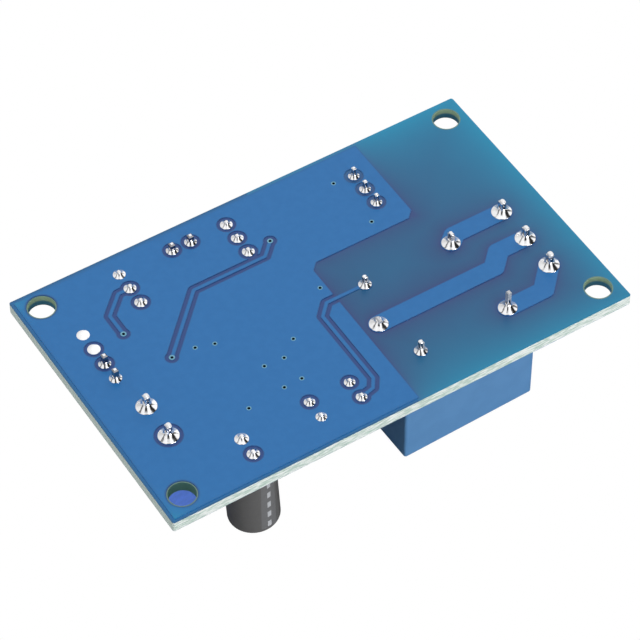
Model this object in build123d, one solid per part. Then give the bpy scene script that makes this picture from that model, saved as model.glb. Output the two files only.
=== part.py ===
from build123d import *
import os
from math import atan2, degrees, hypot, radians, sin, sqrt

# Relay module board, lying as it rests: solder side up, its parts hanging below it.
# Origin: centre of the four mounting holes, on the solder face. X runs along the board
# to the output terminal, Y across it, and Z out of the solder face.

# Board
board_length = 62.6
board_width = 38.1
board_thickness = 1.6
corner_radius = 0.3
copper_thickness = 0.07
mounting_hole_d = 3.3
margin_left = 2.97              # hole centre to the input end
margin_right = 2.63             # hole centre to the output end
margin_front = 3.05             # hole centre to the front edge
margin_back = 2.65              # hole centre to the back edge
mask_ring = 0.17                # bare laminate round each mounting hole

hole_spacing_x = board_length - margin_left - margin_right
hole_spacing_y = board_width - margin_front - margin_back
board_left = -hole_spacing_x / 2 - margin_left
board_right = hole_spacing_x / 2 + margin_right
board_front = -hole_spacing_y / 2 - margin_front
board_back = hole_spacing_y / 2 + margin_back
laminate_top = -copper_thickness
laminate_bottom = copper_thickness - board_thickness

# Copper
pour_inset = 0.45
isolation_gap = 0.45            # beside a track
pad_gap = 0.36                  # round a pad
track_width = 0.5
mains_width = 2.55
fine_width = 0.4
via_drill = 0.36
via_wall = 0.05
via_pad_d = 0.72
via_sides = 8                   # so small that flats stand for the round
pad_rim = 0.03                  # copper beyond the solder
relay_bare_left = 0.98          # the pour stops this far beyond the relay
relay_bare_back = 4.24
relay_bare_right = 4.51         # and this far short of its contact end
bare_corner = 0.95

# Through-hole joints: solder across, hole across, rise of the solder
slim_joint = {"across": 1.4, "hole": 1.0, "rise": 0.45}
lead_joint = {"across": 1.56, "hole": 1.0, "rise": 0.45}
pin_joint = {"across": 1.56, "hole": 1.0, "rise": 0.9}
coil_joint = {"across": 1.64, "hole": 1.1, "rise": 1.1}
contact_joint = {"across": 2.36, "hole": 1.5, "rise": 1.2}
terminal_joint = {"across": 2.62, "hole": 1.5, "rise": 1.3}
solder_collar = 0.14            # solder round the pin at the top of the rise
spare_rise = 0.22
pin_pitch = 2.54
trimmed_height = 0.6
tip_share = 0.25                # chamfer of a pin's tip to its thinner side

# Relay
relay_length = 18.6
relay_width = 15.5
relay_height = 14.9
relay_wall = 0.6
relay_edge = 0.35
relay_base_thickness = 1.4
relay_base_recess = 0.35
relay_fit = 0.05
relay_front_gap = 4.41          # near corner of the case to the front edge of the board
relay_terminal_gap = 0.52       # case to the back of the output terminal
relay_turn = 1.3                # the case stands a little askew, in degrees
relay_contact_pitch_x = 12.2
relay_common_offset_x = 1.94
relay_pin_pitch_y = 12.0
relay_common_edge = 1.06        # common pin to the end of the case
contact_pin_x = 0.5
contact_pin_y = 0.9
coil_pin_side = 0.55
relay_pin_root = 3.0            # length of each pin above the board
coil_far_height = 1.45
coil_near_height = 1.7
common_height = 0.95
closed_contact_height = 1.6
open_contact_height = 2.9
winding_d = 8.6
winding_length = 8.4
core_d = 3.2
yoke_thickness = 1.4
yoke_width = 9.0
yoke_inset = 3.0                # end of the case to the middle of the bracket
core_overhang = 2.0             # bracket's arm above the winding

# Screw terminals: in each way a screw drives a pressure plate down inside a metal box
way_pitch = 5.0
terminal_height = 10.0
terminal_front = 3.6            # pin line to the wire face
terminal_back = 4.0
terminal_face_height = 4.9      # the wire side leans back above this
terminal_top_front = 1.3
terminal_shoulder = 6.4         # the back leans in above this
terminal_top_back = 3.2
terminal_rib = 0.3
rib_width = 1.2
box_depth = 4.2
box_width = 3.6
box_sheet = 0.6
box_wall = 0.4
box_raise = 0.6                 # underside of the box above the board
nut_thickness = 1.1
terminal_pin_x = 0.65
terminal_pin_y = 0.8
terminal_pin_height = 1.9
plate_depth = 3.6
plate_thickness = 0.5
plate_lip = 0.2
plate_lip_width = 0.5
plate_travel = 2.4
slide_clearance = 0.1
screw_d = 2.5
screw_offset = 0.8              # screw's axis behind the pin line
thread_clearance = 0.05
head_d = 3.2
head_height = 1.4
head_clearance = 0.1
slot_width = 0.6
slot_depth = 0.7
wire_entry_width = 2.8
wire_entry_height = 2.6
funnel_flare = 0.45
output_inset = 1.9              # wire face to the end of the board
output_y = -5.19
output_ways = 3
input_inset = 2.3
input_y = -5.73
input_ways = 2

output_x = board_right - output_inset - terminal_front
input_x = board_left + input_inset + terminal_front
box_floor = box_raise + box_sheet
plate_bottom = box_floor + wire_entry_height + plate_lip
plate_top = plate_bottom + plate_thickness
nut_bottom = plate_top + slide_clearance
nut_top = nut_bottom + nut_thickness
head_bottom = nut_top + thread_clearance + plate_travel
head_top = head_bottom + head_height
screw_x = -screw_offset

# The relay stands against the output terminal, and its pins go by the end of its case
relay_left = output_x - terminal_back - relay_terminal_gap - relay_length
relay_y = board_front + relay_front_gap + relay_width / 2
relay_common_x = relay_left + relay_common_edge
relay_coil_x = relay_common_x + relay_common_offset_x
relay_contact_x = relay_coil_x + relay_contact_pitch_x

input_back = input_x + terminal_back
drawn_room = 24.08              # input terminal to the relay


def along(offset):
    """Small parts keep their share of the room between the input terminal and the relay."""
    return input_back + offset * (relay_left - input_back) / drawn_room


# Capacitor
capacitor_d = 6.3
capacitor_height = 11.25
capacitor_offset = 2.75
capacitor_inset = 4.88          # axis to the front edge of the board
capacitor_lean = 3.0
capacitor_gap = 0.05
capacitor_groove = 0.35
capacitor_groove_z = 1.7
capacitor_rim = 0.5
capacitor_bung_d = 5.3
capacitor_bung_recess = 0.25
capacitor_bung_thickness = 1.4
sleeve_thickness = 0.12
sleeve_lip = 0.55
lead_d = 0.5

capacitor_x = along(capacitor_offset)
capacitor_y = board_front + capacitor_inset
capacitor_seat = capacitor_gap + capacitor_d / 2 * sin(radians(capacitor_lean))

# Light-emitting diodes
led_d = 3.0
led_flange_d = 3.7
led_flange_height = 1.0
led_height = 5.0
led_flat = 0.35
led_lead_side = 0.45
power_led_offset = 12.1
relay_led_offset = 17.55
led_inset = 5.3                 # axis to the front edge of the board

power_led_x = along(power_led_offset)
relay_led_x = along(relay_led_offset)
led_y = board_front + led_inset

# Three-lead devices
device_width = 4.6
device_depth = 3.6
device_height = 4.6
device_flat = 1.3               # axis to the flat face
device_stand = 2.6
device_lead_side = 0.45
device_lead_pitch = 1.27
regulator_offset = 3.3
transistor_offset = 18.1
device_inset = 5.68             # middle lead to the back edge of the board

regulator_x = along(regulator_offset)
transistor_x = along(transistor_offset)
device_y = board_back - device_inset

# Trimmer
trimmer_length = 9.53
trimmer_width = 4.83
trimmer_height = 10.03
trimmer_foot = 0.4
trimmer_x = 13.73
trimmer_inset = 7.15            # middle pin to the back edge of the board
trimmer_pin_side = 0.5
trimmer_pin_height = 1.45
trimmer_screw_d = 2.2
trimmer_screw_height = 1.5
trimmer_screw_inset = 1.9
trimmer_socket = 1.6
trimmer_clearance = 0.05

trimmer_y = board_back - trimmer_inset

# Pin headers
header_pin = 0.64
header_body = 2.5
header_pin_above = 8.5
header_pin_below = 1.2
header_notch = 0.45
jumper_offset = 11.8
jumper_inset = 3.2              # pins to the back edge of the board
sensor_inset = 4.98             # pins to the input end of the board
sensor_y = 6.05
sensor_pin_below = 1.6

jumper_x = along(jumper_offset)
jumper_y = board_back - jumper_inset
sensor_x = board_left + sensor_inset

# Surface-mounted parts
comparator_offset = 9.12
comparator_y = -3.3
comparator_length = 4.9
comparator_width = 3.9
comparator_height = 1.5
comparator_stand = 0.12
comparator_reach = 3.0          # axis to the toe of a lead
lead_pitch = 1.27
lead_width = 0.42
lead_thickness = 0.2
comparator_lead_z = 0.75
chip_length = 2.0
chip_width = 1.25
chip_height = 0.5
chip_end = 0.4
chip_pad_reach = 0.35
chip_row_inset = 8.5            # resistors of the lights to the front edge of the board
diode_gap = 1.56                # diode to the relay
diode_y = -8.4
diode_length = 4.3
diode_width = 2.6
diode_height = 2.1
diode_tab = 0.25
diode_tab_width = 1.4

comparator_x = along(comparator_offset)
diode_x = relay_left - diode_gap - diode_width / 2

# Where the vias and the chips lie: offset along the board and y, or both from the part named
sensor_via_gap = 4.07
sensor_via_y = 7.5
via_offsets = [(2.13, 1.43), (21.18, 10.69), (5.15, 1.25), (7.4, 0.55), (15.5, -3.7), (10.5, -5.4),
               (13.1, -5.55), (10.8, -9.3), (13.2, -9.25), (5.75, -9.75), (22.3, 1.25)]
trimmer_via_steps = [(-2.75, 2.8), (-2.2, -4.9)]
chip_row_y = board_front + chip_row_inset
resistor_offsets = [(5.37, 5.2), (12.67, 3.4)]
base_resistor_offset = 24.77
capacitor_offsets = [(1.67, -7.6), (0.37, 2.9)]
level_bends = (9.52, 19.4)
level_y = 8.93

vias = [(sensor_x + sensor_via_gap, sensor_via_y)]
vias += [(along(offset), y) for offset, y in via_offsets]
vias += [(trimmer_x + dx, trimmer_y + dy) for dx, dy in trimmer_via_steps]
resistor_places = [(power_led_x - 0.1, chip_row_y), (relay_led_x, chip_row_y)]
resistor_places += [(along(offset), y) for offset, y in resistor_offsets]
resistor_places += [(along(base_resistor_offset), device_y)]
capacitor_places = [(along(offset), y) for offset, y in capacitor_offsets]


def drawn(face, bottom, height):
    return extrude(Pos(0, 0, bottom) * face, amount=height, dir=(0, 0, 1))


def slab(x_size, y_size, bottom, top, x=0.0, y=0.0):
    return Pos(x, y, (bottom + top) / 2) * Box(x_size, y_size, top - bottom)


def rod(diameter, bottom, top, x=0.0, y=0.0):
    return Pos(x, y, (bottom + top) / 2) * Cylinder(diameter / 2, top - bottom)


def seat(x, y, turn=0.0):
    """Place on the component side: local Z points away from the board."""
    return Pos(x, y, -board_thickness) * Rot(180, 0, 0) * Rot(0, 0, turn)


def row_of(count, pitch):
    return [(i - (count - 1) / 2) * pitch for i in range(count)]


def track(points, width):
    """A line of copper with round ends and round outer corners."""
    shape = None
    for (x0, y0), (x1, y1) in zip(points, points[1:]):
        span = hypot(x1 - x0, y1 - y0)
        turn = degrees(atan2(y1 - y0, x1 - x0))
        piece = Pos((x0 + x1) / 2, (y0 + y1) / 2) * SlotCenterToCenter(span, width, rotation=turn)
        shape = piece if shape is None else shape + piece
    return shape


def disc(x, y, diameter):
    return Pos(x, y) * Circle(diameter / 2)


def via_disc(x, y, diameter):
    return Pos(x, y) * RegularPolygon(diameter / 2, via_sides, major_radius=False)


# Solder joints, in the board's own frame: x, y, pin size in x and y, height of the pin
def joint_row(x, y, count, pitch, kind, pin_x, pin_y, height):
    return [(x, y + dy, kind, pin_x, pin_y, height) for dy in row_of(count, pitch)]


relay_front = relay_y - relay_pin_pitch_y / 2
relay_back = relay_y + relay_pin_pitch_y / 2
relay_joints = [
    (relay_coil_x, relay_back, coil_joint, coil_pin_side, coil_pin_side, coil_far_height),
    (relay_coil_x, relay_front, coil_joint, coil_pin_side, coil_pin_side, coil_near_height),
    (relay_common_x, relay_y, contact_joint, contact_pin_x, contact_pin_y, common_height),
    (relay_contact_x, relay_back, contact_joint, contact_pin_x, contact_pin_y, closed_contact_height),
    (relay_contact_x, relay_front, contact_joint, contact_pin_x, contact_pin_x, open_contact_height)]
output_joints = joint_row(output_x, output_y, output_ways, way_pitch, terminal_joint,
                          terminal_pin_x, terminal_pin_y, terminal_pin_height)
input_joints = joint_row(input_x, input_y, input_ways, way_pitch, terminal_joint,
                         terminal_pin_x, terminal_pin_y, terminal_pin_height)
capacitor_joints = joint_row(capacitor_x, capacitor_y, 2, pin_pitch, lead_joint,
                             lead_d, lead_d, trimmed_height)
led_joints = [joint for x in (power_led_x, relay_led_x)
              for joint in joint_row(x, led_y, 2, pin_pitch, slim_joint,
                                     led_lead_side, led_lead_side, trimmed_height)]
regulator_joints = joint_row(regulator_x, device_y, 3, pin_pitch, lead_joint,
                             device_lead_side, device_lead_side, trimmed_height)
transistor_joints = joint_row(transistor_x, device_y, 3, pin_pitch, lead_joint,
                              device_lead_side, device_lead_side, trimmed_height)
trimmer_joints = joint_row(trimmer_x, trimmer_y, 3, pin_pitch, pin_joint,
                           trimmer_pin_side, trimmer_pin_side, trimmer_pin_height)
sensor_row = joint_row(sensor_x, sensor_y, 4, pin_pitch, pin_joint,
                       header_pin, header_pin, sensor_pin_below)
sensor_joints = sensor_row[:2]
spare_joints = sensor_row[2:]
jumper_joints = [(jumper_x + dx, jumper_y, pin_joint, header_pin, header_pin, header_pin_below)
                 for dx in row_of(2, pin_pitch)]
all_joints = (relay_joints + output_joints + input_joints + capacitor_joints + led_joints
              + regulator_joints + transistor_joints + trimmer_joints + sensor_row + jumper_joints)

# Pads that run into the pour without a gap
joined_pads = [input_joints[1], capacitor_joints[1], led_joints[0], regulator_joints[2],
               sensor_row[0], sensor_row[3]]
# Pads on the bare side of the board, outside the pour
bare_pads = relay_joints + output_joints

signal_track = [regulator_joints[1][:2], (regulator_x - 1.6, device_y), (vias[0][0], device_y - 2.47),
                vias[0]]
level_track = [vias[1], (along(level_bends[0]), level_y), (along(level_bends[1]), level_y), vias[2]]
coil_lane = relay_left - 3.88
coil_track = [relay_joints[0][:2], (coil_lane + 1.52, relay_back), (coil_lane, relay_back - 1.56),
              (coil_lane, led_y + 0.35), (coil_lane - 0.83, led_y - 0.85), led_joints[2][:2]]
closed_track = [relay_joints[3][:2], (output_x - 6.88, output_joints[2][1]), output_joints[2][:2]]
common_track = [relay_joints[2][:2], (output_x - 5.78, relay_y), (output_x - 3.88, output_joints[1][1]),
                output_joints[1][:2]]
open_track = [relay_joints[4][:2], (output_x - 2.78, relay_front), output_joints[0][:2]]


def mounting_holes(diameter):
    corners = [(sx * hole_spacing_x / 2, sy * hole_spacing_y / 2) for sx in (-1, 1) for sy in (-1, 1)]
    return [disc(x, y, diameter) for x, y in corners]


def laminate():
    face = Pos((board_left + board_right) / 2, (board_front + board_back) / 2) * RectangleRounded(
        board_length, board_width, corner_radius)
    face = face - mounting_holes(mounting_hole_d)
    face = face - [disc(j[0], j[1], j[2]["hole"]) for j in all_joints]
    face = face - [via_disc(x, y, via_drill + 2 * via_wall) for x, y in vias]
    return drawn(face, laminate_bottom, laminate_top - laminate_bottom)


def pour_outline():
    left = board_left + pour_inset
    front = board_front + pour_inset
    back = board_back - pour_inset
    step_left = relay_left - relay_bare_left
    step_y = relay_y + relay_width / 2 + relay_bare_back
    step_right = relay_left + relay_length - relay_bare_right
    return make_face(Polyline(
        (left, front), (step_left, front), (step_left, step_y - bare_corner),
        (step_left + bare_corner, step_y), (step_right - bare_corner, step_y),
        (step_right, step_y + bare_corner), (step_right, back), (left, back), close=True))


def solder_side_copper():
    """The ground pour, the tracks set into it and the wide tracks to the output terminal."""
    fine_tracks = [track(signal_track, track_width), track(level_track, track_width),
                   track(coil_track, track_width)]
    apart = [j for j in all_joints if j not in joined_pads and j not in bare_pads]
    cuts = [track(line, track_width + 2 * isolation_gap) for line in (signal_track, level_track, coil_track)]
    cuts += [disc(j[0], j[1], j[2]["across"] + 2 * (pad_rim + pad_gap)) for j in apart]
    cuts += [disc(x, y, via_pad_d + 2 * isolation_gap) for x, y in vias[:3]]
    face = pour_outline() - cuts
    face = face - mounting_holes(mounting_hole_d + 2 * mask_ring)
    for line in fine_tracks:
        face = face + line
    for line in (closed_track, common_track, open_track):
        face = face + track(line, mains_width)
    for j in all_joints:
        face = face + disc(j[0], j[1], j[2]["across"] + (0.0 if j in joined_pads else 2 * pad_rim))
    for x, y in vias[:3]:
        face = face + via_disc(x, y, via_pad_d)
    face = face - [disc(j[0], j[1], j[2]["hole"]) for j in all_joints]
    face = face - [via_disc(x, y, via_drill + 2 * via_wall) for x, y in vias]
    return drawn(face, -copper_thickness, copper_thickness)


# Component side: lands under the surface-mounted parts, and the tracks between them
comparator_land_x = comparator_reach - 0.3
comparator_lands = [(comparator_x + side * comparator_land_x, comparator_y + dy)
                    for side in (-1, 1) for dy in row_of(4, lead_pitch)]
chip_land_x = (chip_length - chip_end) / 2
chip_lands = [(x + side * chip_land_x, y) for x, y in resistor_places + capacitor_places for side in (-1, 1)]
diode_lands = [(diode_x, diode_y + side * (diode_length / 2)) for side in (-1, 1)]


def component_tracks():
    lands = comparator_lands
    lines = [
        [vias[0], sensor_row[2][:2]],
        [vias[1], (vias[1][0], lands[3][1]), lands[3]],
        [vias[3], (vias[3][0], lands[3][1])],
        [vias[6], lands[4]],
        [vias[7], lands[5]],
        [vias[8], chip_lands[0]],
        [vias[9], chip_lands[1]],
        [vias[5], (vias[5][0], chip_row_y), chip_lands[2]],
        [vias[10], (vias[10][0], lands[0][1])],
        [chip_lands[4], (chip_lands[4][0], vias[3][1]), vias[3]],
        [chip_lands[6], (chip_lands[6][0], lands[7][1])],
        [vias[11], (vias[11][0], transistor_joints[0][1]), transistor_joints[0][:2]],
        [vias[2], (trimmer_x - 4.0, vias[2][1]), trimmer_joints[1][:2]],
        [vias[12], trimmer_joints[2][:2]],
        [vias[13], trimmer_joints[0][:2]],
        [led_joints[1][:2], chip_lands[1]],
        [led_joints[3][:2], chip_lands[3]],
        [chip_lands[9], (vias[12][0] - 2.0, device_y), vias[12]],
        [diode_lands[0], (diode_x, relay_front), relay_joints[1][:2]],
        [diode_lands[1], (diode_x + 3.0, relay_back), relay_joints[0][:2]]]
    return [track(line, fine_width) for line in lines]


def component_side_copper():
    """Lands for the small parts, fine tracks and the second layer of wide tracks."""
    face = track([input_joints[0][:2], (input_x, capacitor_y), capacitor_joints[0][:2]], mains_width / 2)
    for line in (closed_track, common_track, open_track):
        face = face + track(line, mains_width)
    for line in component_tracks():
        face = face + line
    for j in regulator_joints + transistor_joints:
        face = face + disc(j[0], j[1], j[2]["across"])
    for x, y in vias:
        face = face + via_disc(x, y, via_pad_d)
    for x, y in comparator_lands:
        face = face + Pos(x, y) * Rectangle(1.3, 0.6)
    for x, y in chip_lands:
        face = face + Pos(x, y) * Rectangle(chip_end + 2 * chip_pad_reach, chip_width)
    for x, y in diode_lands:
        face = face + Pos(x, y) * Rectangle(1.8, 2.0)
    face = face - [disc(j[0], j[1], j[2]["hole"]) for j in all_joints]
    face = face - [via_disc(x, y, via_drill + 2 * via_wall) for x, y in vias]
    return drawn(face, -board_thickness, copper_thickness)


def via_barrels():
    tubes = []
    for x, y in vias:
        ring = via_disc(x, y, via_drill + 2 * via_wall) - via_disc(x, y, via_drill)
        tubes.append(drawn(ring, -board_thickness, board_thickness))
    return tubes


def solder_joint(joint):
    """Solder that fills the hole, spreads to the rim of the pad and climbs steeply up the pin."""
    x, y, kind, pin_x, pin_y, height = joint
    foot = kind["across"] / 2
    neck = hypot(pin_x, pin_y) / 2 + solder_collar
    rise = min(kind["rise"], height - tip_share * min(pin_x, pin_y))
    hollow = (neck + (foot - neck) * 0.3, rise * 0.4)
    side = Polyline((0, rise), (0, -board_thickness), (kind["hole"] / 2, -board_thickness),
                    (kind["hole"] / 2, 0), (foot, 0), hollow, (neck, rise), close=True)
    body = Pos(x, y, 0) * revolve(make_face(Plane.XZ * side), axis=Axis.Z)
    return body - slab(pin_x, pin_y, -2 * board_thickness, 2 * height, x, y)


def spare_joint(joint):
    """A hole with no lead in it, filled with solder to a low dome."""
    x, y, kind = joint[:3]
    foot = kind["across"] / 2
    side = Polyline((0, spare_rise), (0, -board_thickness), (kind["hole"] / 2, -board_thickness),
                    (kind["hole"] / 2, 0), (foot, 0))
    radius = (foot ** 2 + spare_rise ** 2) / (2 * spare_rise)
    halfway = spare_rise - radius + sqrt(radius ** 2 - foot ** 2 / 4)
    dome = ThreePointArc((foot, 0), (foot / 2, halfway), (0, spare_rise))
    return Pos(x, y, 0) * revolve(make_face(Plane.XZ * (side + dome)), axis=Axis.Z)


def pin(joint, root):
    """A square or flat pin from root below the board's component face up through the joint."""
    x, y, kind, pin_x, pin_y, height = joint
    body = slab(pin_x, pin_y, -board_thickness - root, height, x, y)
    return chamfer(body.faces().sort_by(Axis.Z)[-1].edges(), tip_share * min(pin_x, pin_y))


def relay_place():
    """The works and the case are askew about the corner nearest the input; the pins stay in their holes."""
    corner = Pos(relay_left, board_front + relay_front_gap, 0) * Rot(0, 0, relay_turn)
    return corner * seat(relay_length / 2, relay_width / 2)


def relay_case():
    outer = slab(relay_length, relay_width, 0, relay_height)
    outer = fillet(outer.edges().filter_by(Axis.Z), relay_edge)
    outer = fillet(outer.faces().sort_by(Axis.Z)[-1].edges(), relay_edge * 0.8)
    inner = slab(relay_length - 2 * relay_wall, relay_width - 2 * relay_wall, 0, relay_height - relay_wall)
    inner = fillet(inner.edges().filter_by(Axis.Z), relay_edge / 2)
    return relay_place() * (outer - inner)


def relay_base():
    length = relay_length - 2 * (relay_wall + relay_fit)
    width = relay_width - 2 * (relay_wall + relay_fit)
    plate = slab(length, width, relay_base_recess, relay_base_recess + relay_base_thickness)
    plate = relay_place() * fillet(plate.edges().filter_by(Axis.Z), relay_edge / 2)
    return plate - [pin(j, relay_pin_root) for j in relay_joints]


def relay_yoke():
    """Iron core through the coil, with the bracket that carries the flux round it."""
    floor = relay_base_recess + relay_base_thickness
    arm_z = floor + winding_d + core_overhang
    stand_x = relay_length / 2 - yoke_inset
    plate = slab(yoke_thickness, yoke_width, floor, arm_z, stand_x)
    reach = winding_length + 2 * yoke_thickness
    arm = slab(reach, yoke_width, arm_z - yoke_thickness, arm_z, stand_x - reach / 2)
    core_z = floor + winding_d / 2
    core = Pos(stand_x - reach / 2, 0, core_z) * Rot(0, 90, 0) * Cylinder(core_d / 2, reach)
    return relay_place() * (plate + arm + core)


def relay_winding():
    floor = relay_base_recess + relay_base_thickness
    middle = relay_length / 2 - yoke_inset - yoke_thickness / 2 - 0.1 - winding_length / 2
    ring = Cylinder(winding_d / 2, winding_length) - Cylinder(core_d / 2, winding_length)
    return relay_place() * Pos(middle, 0, floor + winding_d / 2) * Rot(0, 90, 0) * ring


def terminal_profile(length):
    front, back, top = terminal_front, -terminal_back, terminal_height
    side = Polyline((back, 0), (front, 0), (front, terminal_face_height), (terminal_top_front, top),
                    (-terminal_top_back, top), (back, terminal_shoulder), close=True)
    return Pos(0, length / 2, 0) * extrude(make_face(Plane.XZ * side), amount=length)


def way_cavity(y):
    """Room for the metal box, open below for its pin; a shaft for the screw and a funnel for the wire."""
    room = slab(box_depth + 2 * slide_clearance, box_width + 2 * slide_clearance, 0,
                nut_top + slide_clearance, screw_x, y)
    shaft = rod(head_d + 2 * head_clearance, nut_top, terminal_height, screw_x, y)
    mouth = Pos(terminal_front, y, box_floor + wire_entry_height / 2) * Rot(0, 90, 0) * Rectangle(
        wire_entry_height + 2 * funnel_flare, wire_entry_width + 2 * funnel_flare)
    depth = terminal_front - (screw_x + box_depth / 2 + slide_clearance)
    flare = degrees(atan2(funnel_flare, depth))
    funnel = extrude(mouth, amount=depth, dir=(-1, 0, 0), taper=flare)
    return [room, shaft, funnel]


def terminal_housing(ways, place):
    length = ways * way_pitch
    body = terminal_profile(length)
    rib = slab(rib_width, terminal_rib, 0, terminal_shoulder, -terminal_back / 2,
               length / 2 + terminal_rib / 2)
    groove = slab(rib_width + 0.2, terminal_rib, 0, terminal_shoulder + 0.1, -terminal_back / 2,
                  -length / 2 + terminal_rib / 2)
    body = body + rib - groove
    for y in row_of(ways, way_pitch):
        body = body - way_cavity(y)
    return place * body


def terminal_contact(y):
    """The metal box of one way: the wire lies on its floor, and its roof takes the screw's thread."""
    box = slab(box_depth, box_width, box_raise, nut_top, screw_x, y)
    tunnel = slab(box_depth, box_width - 2 * box_wall, box_floor, nut_bottom, screw_x, y)
    thread = rod(screw_d + 2 * thread_clearance, nut_bottom, nut_top, screw_x, y)
    return box - tunnel - thread


def terminal_contacts(ways, place, joints):
    boxes = [place * terminal_contact(y) for y in row_of(ways, way_pitch)]
    return [box + pin(j, box_floor)
            for box, j in zip(sorted(boxes, key=lambda b: b.center().Y), joints)]


def terminal_clamp(y):
    """The pressure plate under the screw, its two ends turned down to bite the wire, drawn open."""
    half = plate_depth / 2
    lip = half - plate_lip_width
    slope = lip - plate_lip
    lip_bottom = plate_bottom - plate_lip
    side = Polyline((-half, plate_top), (half, plate_top), (half, lip_bottom), (lip, lip_bottom),
                    (slope, plate_bottom), (-slope, plate_bottom), (-lip, lip_bottom),
                    (-half, lip_bottom), close=True)
    width = box_width - 2 * (box_wall + slide_clearance)
    plate = extrude(make_face(Plane.XZ * side), amount=width / 2, both=True)
    return Pos(screw_x, y, 0) * plate


def terminal_screw(y):
    head = rod(head_d, head_bottom, head_top, screw_x, y)
    head = chamfer(head.faces().sort_by(Axis.Z)[-1].edges(), 0.15)
    slot = slab(head_d, slot_width, head_top - slot_depth, head_top, screw_x, y)
    cross = slab(slot_width, head_d * 0.7, head_top - slot_depth, head_top, screw_x, y)
    shank = rod(screw_d, plate_top, head_bottom, screw_x, y)
    return head - slot - cross + shank


def capacitor_place():
    return seat(capacitor_x, capacitor_y) * Pos(0, 0, capacitor_seat) * Rot(0, capacitor_lean, 0)


def capacitor_can():
    """Rolled aluminium can with its beaded neck, the sleeve shrunk on outside left to its own piece."""
    r = capacitor_d / 2 - sleeve_thickness
    inner = capacitor_bung_d / 2
    top = capacitor_height - sleeve_thickness
    groove = r - capacitor_groove
    side = Polyline(
        (inner, 0), (r - capacitor_rim * 0.5, 0), (r, capacitor_rim), (r, capacitor_groove_z - 0.5),
        (groove, capacitor_groove_z), (r, capacitor_groove_z + 0.5), (r, top - 0.4), (r - 0.4, top),
        (0, top), (0, capacitor_bung_recess + capacitor_bung_thickness),
        (inner, capacitor_bung_recess + capacitor_bung_thickness), close=True)
    return capacitor_place() * revolve(make_face(Plane.XZ * side), axis=Axis.Z)


def capacitor_sleeve():
    r = capacitor_d / 2
    inner = r - sleeve_thickness
    top = capacitor_height
    side = Polyline(
        (inner, capacitor_rim), (r, capacitor_rim), (r, capacitor_groove_z - 0.5),
        (r - capacitor_groove, capacitor_groove_z), (r, capacitor_groove_z + 0.5), (r, top - 0.45),
        (r - 0.45, top), (r - 0.45 - sleeve_lip, top), (r - 0.45 - sleeve_lip, top - sleeve_thickness),
        (inner - 0.4, top - sleeve_thickness), (inner, top - sleeve_thickness - 0.4),
        (inner, capacitor_groove_z + 0.5), (inner - capacitor_groove, capacitor_groove_z),
        (inner, capacitor_groove_z - 0.5), close=True)
    return capacitor_place() * revolve(make_face(Plane.XZ * side), axis=Axis.Z)


def capacitor_bung():
    plug = rod(capacitor_bung_d, capacitor_bung_recess, capacitor_bung_recess + capacitor_bung_thickness)
    return capacitor_place() * plug


def capacitor_leads():
    bung = capacitor_bung()
    return [pin(j, capacitor_seat + capacitor_bung_recess + 0.3) - bung for j in capacitor_joints]


def led_lens(x):
    radius = led_d / 2
    dome = led_height - radius
    body = rod(led_flange_d, 0, led_flange_height) - slab(1.0, led_flange_d, 0, led_flange_height,
                                                          led_flange_d / 2 - led_flat + 0.5)
    body = body + rod(led_d, led_flange_height, dome) + Pos(0, 0, dome) * Sphere(radius)
    return seat(x, led_y, 90) * body


def led_leads():
    return [pin(j, 0.0) for j in led_joints]


def device_body(x, turn):
    """Moulded half-round body of a three-lead device, standing on its leads."""
    outline = Circle(device_width / 2) - Pos(0, device_width + device_flat) * Rectangle(
        2 * device_width, 2 * device_width)
    outline = outline - Pos(0, -device_width / 2 - (device_depth - device_flat)) * Rectangle(
        device_width, device_width)
    return seat(x, device_y, turn) * drawn(outline, device_stand, device_height)


def device_leads(joints, x):
    """Three flat leads that leave the body close together and spread to the holes."""
    leads = []
    half = device_lead_side / 2
    for j, near in zip(joints, row_of(3, device_lead_pitch)):
        far = j[1] - device_y
        low = 0.7
        high = device_stand - 0.5
        side = Polyline((far - half, 0), (far + half, 0), (far + half, low), (near + half, high),
                        (near + half, device_stand), (near - half, device_stand), (near - half, high),
                        (far - half, low), close=True)
        bent = extrude(make_face(Plane.YZ * side), amount=half, both=True)
        placed = Pos(x, device_y, -board_thickness) * mirror(bent, about=Plane.XY)
        leads.append(placed + pin(j, 0.0))
    return leads


def trimmer_body():
    body = slab(trimmer_width, trimmer_length, trimmer_foot, trimmer_height)
    body = chamfer(body.edges().filter_by(Axis.Z), 0.3)
    for sy in (-1, 1):
        body = body + slab(trimmer_width, 0.8, 0, trimmer_foot, 0, sy * (trimmer_length / 2 - 0.4))
    hole = rod(trimmer_screw_d + 2 * trimmer_clearance, trimmer_height - trimmer_socket, trimmer_height,
               0, trimmer_length / 2 - trimmer_screw_inset)
    return seat(trimmer_x, trimmer_y) * (body - hole)


def trimmer_screw():
    y = trimmer_length / 2 - trimmer_screw_inset
    top = trimmer_height + trimmer_screw_height
    stem = rod(trimmer_screw_d, trimmer_height - trimmer_socket + trimmer_clearance, top, 0, y)
    stem = chamfer(stem.faces().sort_by(Axis.Z)[-1].edges(), 0.15)
    return seat(trimmer_x, trimmer_y) * (stem - slab(trimmer_screw_d, 0.5, top - 0.7, top, 0, y))


def trimmer_pins():
    return [pin(j, trimmer_foot) for j in trimmer_joints]


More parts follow.
